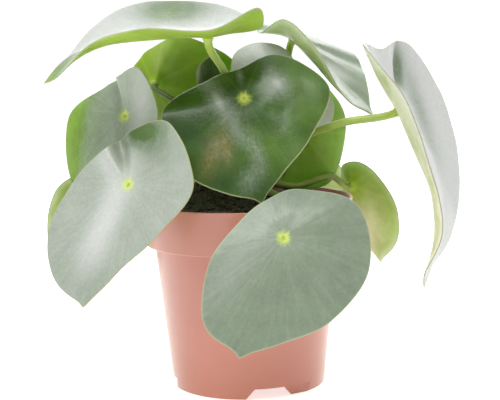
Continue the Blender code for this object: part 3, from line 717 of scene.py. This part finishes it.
# %% Stalk routes
STEM_AT = (0.0, 4.0)
STEM_RADIUS = 5.5
STEM_TAPER = 0.2
STEM_BOTTOM = 86.3
STEM_TOP = 127.0
STEM_STEPS = 24
LOWEST_STALK = 113.0
STALK_DROP = 8.0
STALK_END = 2.5
IN_BLADE = 0.3
CURVE_POINTS = 11
END_STEPS = 6


def stalk_route(leaf):
    """Points along a stalk, from inside the stem into the blade."""
    out = blade_axes(leaf)[2]
    tip = Vector(leaf["at"]) - out * (DIMPLE + BLADE * IN_BLADE)
    root = Vector((*STEM_AT, max(LOWEST_STALK, leaf["route"][0][2] - STALK_DROP)))
    points = [root] + [Vector(point) for point in leaf["route"]] + [tip - out * STALK_END]
    ways = [(points[1] - points[0]).normalized()]
    ways += [(after - before).normalized() for before, after in zip(points, points[2:])]
    ways.append((out + (points[-1] - points[-2]).normalized()).normalized())
    route = []
    for start, end, leaving, arriving in zip(points, points[1:], ways, ways[1:]):
        handle = (end - start).length / 3
        route += interpolate_bezier(start, start + leaving * handle, end - arriving * handle, end,
                                    CURVE_POINTS)[:-1]
    return route + [points[-1].lerp(tip, step / END_STEPS) for step in range(END_STEPS + 1)]


print("points along the first stalk:", len(stalk_route(LEAVES[0])))

# %% Stem and stalk mesh
STALK_RADIUS = 2.05
STALK_SIDES = 18
UNEVEN_TUBE = 0.05
FOOT_WIDER, FOOT_REACH = 0.9, 14.0
FLARE_WIDER, FLARE_REACH = 1.1, 1.5
DARK_THINNER = 0.5
SHADE_FADES = 3.0


def sweep(route, radii, seed):
    """A closed tube along a route, with its own radius at each point."""
    points, faces = [], []
    last = len(route) - 1
    side = Vector((0.3, 0.9, 0.2))
    for index, centre in enumerate(route):
        way = (route[min(index + 1, last)] - route[max(index - 1, 0)]).normalized()
        side = (side - way * side.dot(way)).normalized()
        other = way.cross(side)
        for corner in range(STALK_SIDES):
            turn = math.tau * corner / STALK_SIDES
            spot = Vector((math.cos(turn), math.sin(turn), index * 0.12 + seed))
            radius = radii[index] * (1 + UNEVEN_TUBE * noise.noise(spot))
            points.append(centre + (side * math.cos(turn) + other * math.sin(turn)) * radius)
    for low in range(0, last * STALK_SIDES, STALK_SIDES):
        high = low + STALK_SIDES
        for corner in range(STALK_SIDES):
            following = (corner + 1) % STALK_SIDES
            faces.append((low + corner, low + following, high + following, high + corner))
    faces.append(tuple(range(STALK_SIDES - 1, -1, -1)))
    faces.append(tuple(last * STALK_SIDES + corner for corner in range(STALK_SIDES)))
    return points, faces


def stem_mesh():
    """The stem and all stalks, with two numbers on each point: age along the stalk, and shade."""
    points, faces, ages, shades = [], [], [], []

    def take(route, radii, seed, dark):
        start = len(points)
        more_points, more_faces = sweep(route, radii, seed)
        points.extend(more_points)
        faces.extend(tuple(start + index for index in face) for face in more_faces)
        for index, shade in enumerate(dark):
            ages.extend([index / (len(route) - 1)] * STALK_SIDES)
            shades.extend([shade] * STALK_SIDES)

    foot, top = Vector((*STEM_AT, STEM_BOTTOM)), Vector((*STEM_AT, STEM_TOP))
    shares = [step / STEM_STEPS for step in range(STEM_STEPS + 1)]
    take([foot.lerp(top, share) for share in shares],
         [STEM_RADIUS * (1 - STEM_TAPER * share) for share in shares], 0.0, [0.0] * len(shares))
    for number, leaf in enumerate(LEAVES):
        route = stalk_route(leaf)
        lengths = [0.0]
        for before, after in zip(route, route[1:]):
            lengths.append(lengths[-1] + (after - before).length)
        dark = leaf.get("stalk", 0)
        radii, darker = [], []
        for length in lengths:
            to_blade = lengths[-1] - length
            radii.append(STALK_RADIUS - DARK_THINNER * dark + FOOT_WIDER * math.exp(-length / FOOT_REACH)
                         + FLARE_WIDER * math.exp(-(to_blade / FLARE_REACH) ** 1.5))
            darker.append(dark * min(1, to_blade / SHADE_FADES))
        take(route, radii, number * 1.9, darker)
    mesh = new_mesh("stem_and_stalks", points, faces)
    mesh.attributes.new("age", "FLOAT", "POINT").data.foreach_set("value", ages)
    mesh.attributes.new("shade", "FLOAT", "POINT").data.foreach_set("value", shades)
    mesh.shade_smooth()
    return mesh


# %% Stalk skin
BLOTCH = 8.333


def stalk_skin():
    """Smooth fleshy stalk, grown: yellow-green and satin, browner and redder towards its foot."""
    m = empty_material("smooth_fleshy_stalk")
    age, shade = (add(m, "Attribute", settings={"attribute_name": name}, give="Fac") for name in ("age",
                      "shade"))
    cloud = add(m, "TexNoise", Vector=add(m, "TexCoord", give="Object"), Scale=every(BLOTCH), Detail=4.0)
    skin = add(m, "ValToRGB", [age], stops=[(0.0, "#6F6A35"), (0.35, "#8A9A48"), (0.8, "#9BB152"), (1.0,
               "#B2C650")])
    skin = add(m, "Mix", {0: shade, 6: skin, 7: linear("#4B5A26")}, IN_COLOUR, 2)
    blotchy = add(m, "MapRange", [cloud, 0.3, 0.7, 0.85, 1.12])
    skin = add(m, "Mix", {0: 1.0, 6: skin, 7: blotchy}, TINTING, 2)
    shader = add(m, "BsdfPrincipled", WAXY_FLESH, Base_Color=skin, Roughness=0.35, Subsurface_Weight=0.3,
                 Subsurface_Scale=2.0 * MM)
    add(m, "OutputMaterial", [shader])
    return m


stem = add_piece("stem_with_stalks", stem_mesh(), "stem_and_stalks", (stalk_skin(),))
print("stem and stalks:", len(stem.data.polygons), "faces")

# %% [markdown]
# ## The soil
# Potting peat is dark, crumbly and matt, with a little moss on top. Its top is a fine net raised by noise in
# three sizes and heaped up beside the stem. Its sides and bottom follow the inside of the pot. Particles
# could scatter the loose crumbs, but a seeded draw keeps them clear of the stem more simply.

# %% Pot and soil sizes
RIM_RADIUS = 60.0
RIM_HEIGHT = 104.0
BAND_RADIUS = 56.0
BAND_BOTTOM = 80.0
BODY_RADIUS = 51.0
BASE_RADIUS = 42.5
WALL = 1.4
SOFT = 0.5
FOOT_HEIGHT = 7.0
FOOT_WIDTH = 5.0
FLOOR = 1.6
GAP = 0.3
SOIL_EDGE = 102.0
MOUND = 11.0
MOUND_AT = (-18.0, 0.0)
MOUND_WIDTH = 20.0
SOIL_SINKS = 0.4
SOIL_LUMPS = ((9.0, 0.7), (3.5, 0.9), (1.3, 0.5))


def wall_radius(height):
    """Outer radius of the pot's wall at a height."""
    if height < BAND_BOTTOM:
        return BASE_RADIUS + (BODY_RADIUS - BASE_RADIUS) * height / BAND_BOTTOM
    return BAND_RADIUS + (RIM_RADIUS - BAND_RADIUS) * (height - BAND_BOTTOM) / (RIM_HEIGHT - BAND_BOTTOM)


def soil_height(x, y):
    """Height of the soil: a mound, and lumps of three sizes, each with its spacing and its amount."""
    away = (x - MOUND_AT[0]) ** 2 + (y - MOUND_AT[1]) ** 2
    height = SOIL_EDGE + MOUND * math.exp(-away / (2 * MOUND_WIDTH ** 2)) - SOIL_SINKS
    for spacing, amount in SOIL_LUMPS:
        height += amount * noise.noise(Vector((x / spacing, y / spacing, spacing)))
    return height


print("soil height at the stem, mm:", round(soil_height(*STEM_AT), 1))

# %% Soil mesh
SOIL_STEPS = 200
SOIL_RINGS = 64
EDGE_DIP = 1.5


def soil_mesh():
    floor_top = FOOT_HEIGHT + FLOOR + GAP
    reach = wall_radius(SOIL_EDGE) - WALL - GAP
    sides = [(reach, SOIL_EDGE - EDGE_DIP),
             (BAND_RADIUS - WALL - SOFT - GAP, BAND_BOTTOM + WALL + GAP),
             (BODY_RADIUS - WALL - GAP, BAND_BOTTOM + SOFT + GAP),
             (wall_radius(floor_top) - WALL - GAP, floor_top)]
    turns = [math.tau * step / SOIL_STEPS for step in range(SOIL_STEPS)]
    points = [(0, 0, soil_height(0, 0))]
    for ring in range(1, SOIL_RINGS):
        for turn in turns:
            x, y, _ = round_axis(reach * ring / SOIL_RINGS, turn, 0)
            points.append((x, y, soil_height(x, y)))
    for radius, height in sides:
        points += [round_axis(radius, turn, height) for turn in turns]
    points.append((0, 0, floor_top))
    return turn_outward(new_mesh("soil", points, closed_net(SOIL_RINGS - 1 + len(sides), SOIL_STEPS)))


# %% Crumbs
CRUMBS = 420
CRUMBS_REACH = 55.0
CRUMB_RADIUS = (0.6, 1.9)
CRUMB_FLATNESS = (0.5, 0.9)
CRUMB_RAGGED = 0.45
CLEAR_OF_STEM = 2


def mesh_of(bm, name):
    """A mesh from the geometry that was worked on, which is let go."""
    mesh = bpy.data.meshes.new(name)
    bm.to_mesh(mesh)
    bm.free()
    return mesh


def crumbs_mesh():
    """Loose crumbs on the soil, placed by a seeded draw and pressed a little flat."""
    draw = np.random.default_rng(7)
    bm = bmesh.new()
    for number in range(CRUMBS):
        turn = draw.uniform(0, math.tau)
        x, y, _ = round_axis(CRUMBS_REACH * math.sqrt(draw.uniform(0.02, 1.0)), turn, 0)
        if math.hypot(x - STEM_AT[0], y - STEM_AT[1]) < STEM_RADIUS + CLEAR_OF_STEM:
            continue
        size = draw.uniform(*CRUMB_RADIUS)
        made = bmesh.ops.create_icosphere(bm, subdivisions=2, radius=size * MM)["verts"]
        flat = draw.uniform(*CRUMB_FLATNESS)
        for vert in made:
            way = vert.co.normalized()
            swell = 1 + CRUMB_RAGGED * noise.noise(way * 1.7 + Vector((number * 3.1, 0, 0)))
            vert.co = Vector((vert.co.x * swell, vert.co.y * swell, vert.co.z * swell * flat))
            vert.co += place((x, y, soil_height(x, y) + size * 0.25))
    mesh = mesh_of(bm, "soil_crumbs")
    mesh.shade_smooth()
    return mesh


# %% Peat
# Peat fibres are a few tenths of a millimetre thick. They are drawn about one millimetre wide to show.
MOSS_PATCH = 11.111
FIBRE = 1.111


def peat():
    """Moist potting peat, dug and sieved: almost black and matt, with a green film of moss in patches."""
    m = empty_material("moist_potting_peat")
    point = add(m, "TexCoord", give="Object")
    coarse = add(m, "TexNoise", Vector=point, Scale=every(MOSS_PATCH), Detail=5.0, Roughness=0.65)
    fine = add(m, "TexNoise", Vector=point, Scale=every(FIBRE), Detail=4.0, Roughness=0.7)
    dark = add(m, "ValToRGB", [fine], stops=[(0.3, "#242120"), (0.52, "#423C38"), (0.72, "#746A5F")])
    moss = add(m, "ValToRGB", [fine], stops=[(0.3, "#2A2E22"), (0.7, "#5C6245")])
    patch = add(m, "MapRange", [coarse, 0.5, 0.66, 0.0, 0.8], SMOOTH)
    skin = add(m, "Mix", {0: patch, 6: dark, 7: moss}, IN_COLOUR, 2)
    bump = add(m, "Bump", Strength=0.8, Distance=0.6 * MM, Height=fine)
    add(m, "OutputMaterial", [add(m, "BsdfPrincipled", Base_Color=skin, Roughness=0.92, Normal=bump)])
    return m


PEAT = peat()
soil = add_piece("potting_soil", soil_mesh(), "soil", (PEAT,))
crumbs = add_piece("soil_crumbs", crumbs_mesh(), None, (PEAT,))
print("soil:", len(soil.data.polygons), "crumbs:", len(crumbs.data.polygons), "faces")

# %% [markdown]
# ## The pot
# The pot is injection moulded polypropylene, a milky plastic that takes a satin skin from the mould. It is
# turned from an outline, like a blank on a lathe. Blocks then cut the foot ring, for three notches with a
# shallow recess beside each, and drills cut the floor. A bevel could soften the corners afterwards, but the
# outline gives each corner a radius of its own. Four more points up the wall keep its faces short.

# %% Pot outline
DRAIN_RADIUS = 4.0
WALL_POINTS = (60.0, 40.0, 22.0, 9.0)
CORNER_STEPS = 5


def pot_outline():
    """Corners of the pot's section, each with the radius that rounds it."""
    floor_top = FOOT_HEIGHT + FLOOR
    wall = [(wall_radius(height), height, 0.0) for height in WALL_POINTS]
    return [(RIM_RADIUS, RIM_HEIGHT, 0.6), (BAND_RADIUS, BAND_BOTTOM, 0.9), (BODY_RADIUS, BAND_BOTTOM, 0.6),
            *wall, (BASE_RADIUS, 0.0, 0.7), (BASE_RADIUS - FOOT_WIDTH, 0.0, 0.4),
            (BASE_RADIUS - FOOT_WIDTH, FOOT_HEIGHT, 0.4), (DRAIN_RADIUS, FOOT_HEIGHT, 0.3),
            (DRAIN_RADIUS, floor_top, 0.3), (wall_radius(floor_top) - WALL, floor_top, 0.6),
            (BODY_RADIUS - WALL, BAND_BOTTOM + SOFT, 0.3),
            (BAND_RADIUS - WALL - SOFT, BAND_BOTTOM + WALL, 0.3),
            (RIM_RADIUS - WALL, RIM_HEIGHT, 0.6)]


def rounded(corners):
    """The outline with each corner replaced by a short curve."""
    points = []
    for index, (radius, height, soft) in enumerate(corners):
        here = Vector((radius, height))
        before = Vector(corners[index - 1][:2])
        after = Vector(corners[(index + 1) % len(corners)][:2])
        start = here + (before - here).normalized() * soft
        end = here + (after - here).normalized() * soft
        for step in range(CORNER_STEPS + 1 if soft else 1):
            share = step / CORNER_STEPS
            points.append(start * (1 - share) ** 2 + here * 2 * share * (1 - share) + end * share ** 2)
    return points


print("points of the pot's outline:", len(rounded(pot_outline())))

# %% Blocks and drills that cut the pot
NOTCHES = 3
NOTCH_HEIGHT = 5.8
NOTCH_MIDDLE = 15.0
NOTCH_TOP_SPAN = 22.5
NOTCH_FOOT_SPAN = 36.0
RECESS_HEIGHT = 5.5
RECESS_TURN = 15.0
RECESS_REACH = 40.2
DRAIN_CIRCLE = 26.0
DRAIN_HOLES = 5


def cutter_block(near, far, half_foot, half_top, height, azimuth):
    """A block across the foot ring, from half of its width at the foot and at its top."""
    bm = bmesh.new()
    bmesh.ops.create_cube(bm, size=2.0)
    turn = math.radians(azimuth)
    for vert in bm.verts:
        half_width = half_top if vert.co.z > 0 else 2 * half_foot - half_top
        outward = far if vert.co.x > 0 else near
        across = vert.co.y * half_width
        vert.co = place((outward * math.sin(turn) + across * math.cos(turn),
                         across * math.sin(turn) - outward * math.cos(turn), vert.co.z * height))
    return bm


def drill(x, y, height):
    """A cylinder through the pot's floor."""
    bm = bmesh.new()
    bmesh.ops.create_cone(bm, cap_ends=True, segments=32, radius1=DRAIN_RADIUS * MM,
                          radius2=DRAIN_RADIUS * MM, depth=4 * FLOOR * MM)
    bmesh.ops.translate(bm, verts=bm.verts, vec=place((x, y, height)))
    return bm


def cutters():
    """All blocks and drills, as a list."""
    half_foot, half_top = (BASE_RADIUS * math.sin(math.radians(span / 2))
                           for span in (NOTCH_FOOT_SPAN, NOTCH_TOP_SPAN))
    wide = half_foot + FOOT_WIDTH
    outside = BASE_RADIUS + FOOT_WIDTH
    tools = []
    for notch in range(NOTCHES):
        azimuth = NOTCH_MIDDLE + 360 / NOTCHES * notch
        tools.append(cutter_block(BASE_RADIUS - 2 * FOOT_WIDTH, outside, half_foot, half_top,
                                  NOTCH_HEIGHT, azimuth))
        tools.append(cutter_block(RECESS_REACH, outside, wide, wide, RECESS_HEIGHT, azimuth + RECESS_TURN))
    for hole in range(DRAIN_HOLES):
        turn = math.tau * hole / DRAIN_HOLES
        tools.append(drill(*round_axis(DRAIN_CIRCLE, turn, FOOT_HEIGHT + FLOOR / 2)))
    return tools


# %% Turn and cut the pot
POT_STEPS = 180
SHARP = math.radians(35)


def pot_mesh():
    bm = bmesh.new()
    corners = [bm.verts.new((radius * MM, 0, height * MM)) for radius, height in rounded(pot_outline())]
    for corner, following in zip(corners, corners[1:] + corners[:1]):
        bm.edges.new((corner, following))
    bmesh.ops.spin(bm, geom=bm.verts[:] + bm.edges[:], cent=(0, 0, 0), axis=(0, 0, 1),
                   angle=math.tau, steps=POT_STEPS, use_merge=True)
    bmesh.ops.remove_doubles(bm, verts=bm.verts, dist=0.01 * MM)
    bmesh.ops.translate(bm, verts=bm.verts, vec=AXIS)
    bmesh.ops.recalc_face_normals(bm, faces=bm.faces)
    blank = into_scene("pot_blank", mesh_of(bm, "pot"))
    tools = [into_scene("cutter", mesh_of(cutter, "cutter")) for cutter in cutters()]
    for tool in tools:
        cut = blank.modifiers.new("cut", "BOOLEAN")
        cut.operation = "DIFFERENCE"
        cut.object = tool
        cut.solver = "EXACT"
    bpy.context.view_layer.update()
    mesh = bpy.data.meshes.new_from_object(blank.evaluated_get(bpy.context.evaluated_depsgraph_get()))
    for thing in tools + [blank]:
        bpy.data.objects.remove(thing, do_unlink=True)
    mesh.shade_smooth()
    mesh.set_sharp_from_angle(angle=SHARP)
    return mesh


# %% Pot plastic
# The grain of the mould is about a twentieth of a millimetre. It is drawn coarser, so that it shows.
FLOW_MARK = 71.43
MOULD_GRAIN = 0.6667


def polypropylene():
    """Polypropylene, injection moulded: a terracotta pink, satin and slightly milky, faint flow marks."""
    m = empty_material("moulded_polypropylene")
    point = add(m, "TexCoord", give="Object")
    height = add(m, "SeparateXYZ", [point], give="Z")
    cloud = add(m, "TexNoise", Vector=point, Scale=every(FLOW_MARK), Detail=3.0)
    fine = add(m, "TexNoise", Vector=point, Scale=every(MOULD_GRAIN), Detail=2.0)
    body = add(m, "ValToRGB", [cloud], stops=[(0.35, "#B67465"), (0.65, "#BD7D6F")])
    # Painted shade: the lower body is darker and more saturated, as where the leaves shade it.
    low = add(m, "MapRange", [height, 0.0, 60.0 * MM, 0.5, 0.0])
    skin = add(m, "Mix", {0: low, 6: body, 7: linear("#BE6F52")}, IN_COLOUR, 2)
    bump = add(m, "Bump", Strength=0.12, Distance=0.1 * MM, Height=fine)
    shader = add(m, "BsdfPrincipled", Base_Color=skin, Roughness=0.42, IOR=1.49, Normal=bump,
                 Subsurface_Weight=0.2, Subsurface_Radius=(1.0, 0.4, 0.25), Subsurface_Scale=3.0 * MM,
                 Sheen_Weight=1.0, Sheen_Roughness=0.35, Sheen_Tint=linear("#FFEDE8"), Coat_Weight=0.5,
                 Coat_Roughness=0.25)
    add(m, "OutputMaterial", [shader])
    return m


pot = add_piece("nursery_pot", pot_mesh(), "pot", (polypropylene(),))
print("pot:", len(pot.data.polygons), "faces")

# %% [markdown]
# ## Floor and light
# Plants for a catalogue are photographed on a light table: a white sheet lit from below, with a lit white
# wall behind it. The room behind the photographer is darker, so a glossy leaf that faces the camera stays
# dark. One soft box hangs over the front of the plant and one high behind it. Point lights would give hard
# shadows, which such a picture doesn't have.

# %% Floor
FLOOR_HALF = 6.0
TABLE_GLOW = 0.62

floor_shape = bmesh.new()
bmesh.ops.create_grid(floor_shape, x_segments=2, y_segments=2, size=FLOOR_HALF)
floor = into_scene("paper_floor", mesh_of(floor_shape, "paper"))
paper = empty_material("white_light_table")
glowing = add(paper, "BsdfPrincipled", Base_Color=linear("#E6E6E4"), Roughness=0.9,
              Emission_Color=linear("#FFFFFF"), Emission_Strength=TABLE_GLOW)
add(paper, "OutputMaterial", [glowing])
floor.data.materials.append(paper)
print("floor, m across:", 2 * FLOOR_HALF)

# %% Lights
# Each soft box has its place and its aim in millimetres, its width and height in metres, and its power.
SOFT_BOXES = {"overhead_box": ((-200, -450, 900), (0, 0, 120), 0.9, 0.6, 9.0),
              "back_box": ((100, 900, 600), (0, 0, 140), 1.2, 0.8, 8.0)}
ROOM_DARK, ROOM_BRIGHT = 0.29, 1.06

for name, (at, aim, width, height, power) in SOFT_BOXES.items():
    box = bpy.data.lights.new(name, "AREA")
    box.shape = "RECTANGLE"
    box.size = width
    box.size_y = height
    box.energy = power
    light = into_scene(name, box)
    light.location = place(at)
    light.rotation_euler = (place(aim) - light.location).to_track_quat("-Z", "Y").to_euler()

world = bpy.data.worlds.new("white_studio")
world.use_nodes = True
depth = add(world, "SeparateXYZ", [add(world, "TexCoord", give="Generated")], give="Y")
wall = add(world, "MapRange", [depth, -0.55, 0.4, ROOM_DARK, ROOM_BRIGHT], SMOOTH)
background = world.node_tree.nodes["Background"]
world.node_tree.links.new(wall, background.inputs["Strength"])
background.inputs["Color"].default_value = linear("#FFFFFF")
bpy.context.scene.world = world
bpy.context.scene.view_settings.view_transform = "Standard"
print("soft boxes:", len(SOFT_BOXES))
